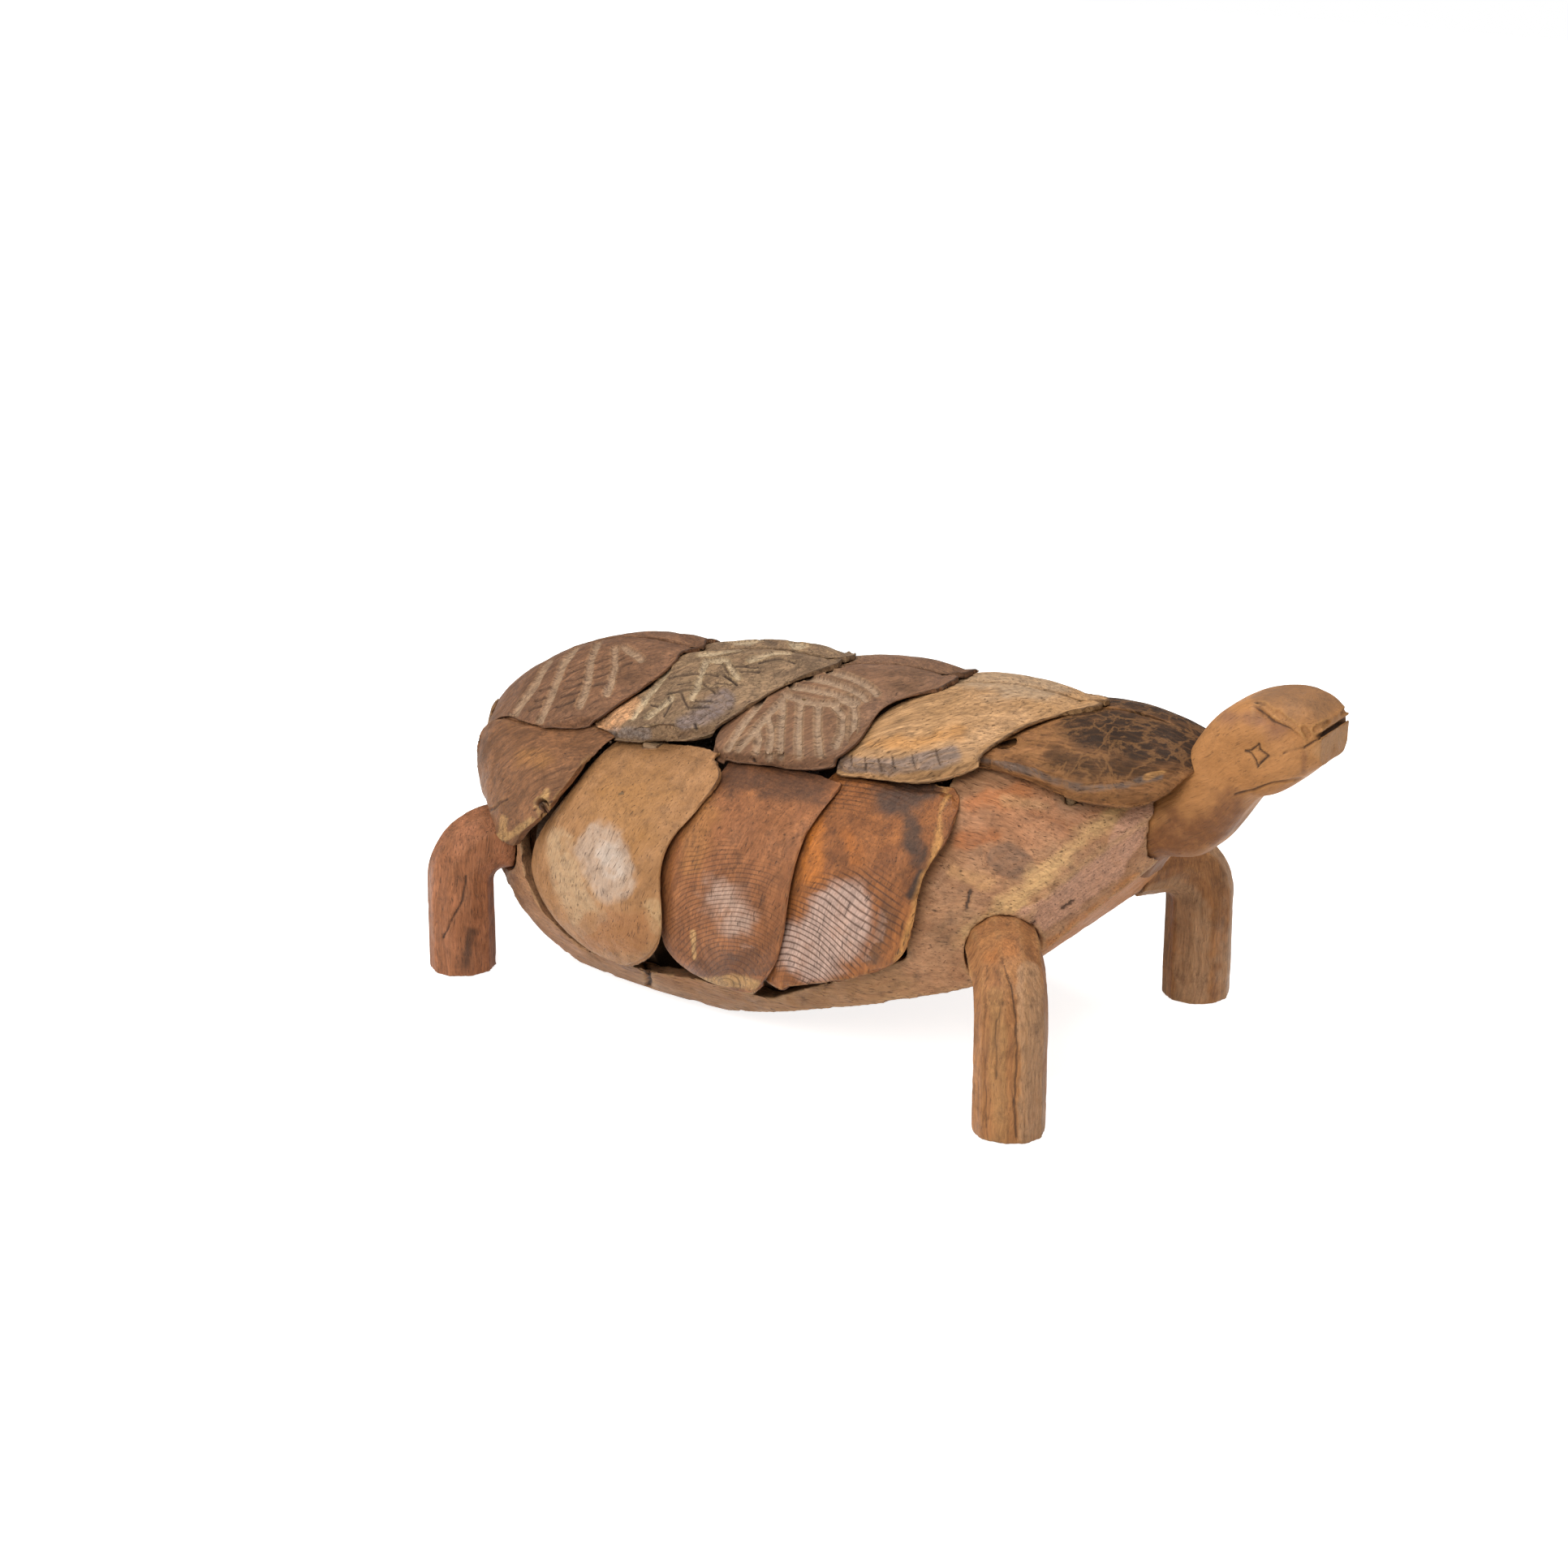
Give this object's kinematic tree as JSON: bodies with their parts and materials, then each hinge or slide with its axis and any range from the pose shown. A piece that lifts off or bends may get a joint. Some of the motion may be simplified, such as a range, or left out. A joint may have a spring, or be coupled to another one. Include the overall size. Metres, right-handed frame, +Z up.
{
  "type": "carved wooden turtle ornament",
  "caption": "Standing turtle carved from reclaimed wood, with overlapping plank scutes pegged to a log hull, a raised head on a bent neck and straight post legs.",
  "frame": {"origin": "centre of the whole turtle's box, on the floor under its feet", "axes": "+X from tail to head, +Y to the turtle's left, +Z up"},
  "size_m": [0.958, 0.4594, 0.4149],
  "materials": {
    "hull_wood": "satin",
    "lower_scute_wood": "satin",
    "upper_scute_wood": "satin",
    "leg_wood": "satin",
    "head_wood": "satin",
    "frame_wood": "satin",
    "dowel_wood": "satin"
  },
  "bodies": {
    "root": {"first_bulkhead": "frame_wood", "fourth_bulkhead": "frame_wood", "head_and_neck": "head_wood", "hull": "hull_wood", "left_eave_wedge": "dowel_wood", "left_front_leg": "leg_wood", "left_lower_first_scute": "lower_scute_wood", "left_lower_fourth_scute": "lower_scute_wood", "left_lower_second_scute": "lower_scute_wood", "left_lower_third_scute": "lower_scute_wood", "left_rear_leg": "leg_wood", "left_upper_fifth_scute": "upper_scute_wood", "left_upper_first_scute": "upper_scute_wood", "left_upper_fourth_scute": "upper_scute_wood", "left_upper_second_scute": "upper_scute_wood", "left_upper_third_scute": "upper_scute_wood", "leg_pegs": "dowel_wood", "lower_scute_dowels": "dowel_wood", "neck_peg": "dowel_wood", "ridge_beam": "frame_wood", "right_eave_wedge": "dowel_wood", "right_front_leg": "leg_wood", "right_lower_first_scute": "lower_scute_wood", "right_lower_fourth_scute": "lower_scute_wood", "right_lower_second_scute": "lower_scute_wood", "right_lower_third_scute": "lower_scute_wood", "right_rear_leg": "leg_wood", "right_upper_fifth_scute": "upper_scute_wood", "right_upper_first_scute": "upper_scute_wood", "right_upper_fourth_scute": "upper_scute_wood", "right_upper_second_scute": "upper_scute_wood", "right_upper_third_scute": "upper_scute_wood", "second_bulkhead": "frame_wood", "tail_scute": "lower_scute_wood", "tail_scute_dowels": "dowel_wood", "third_bulkhead": "frame_wood", "upper_scute_dowels": "dowel_wood"}
  },
  "joints": []
}
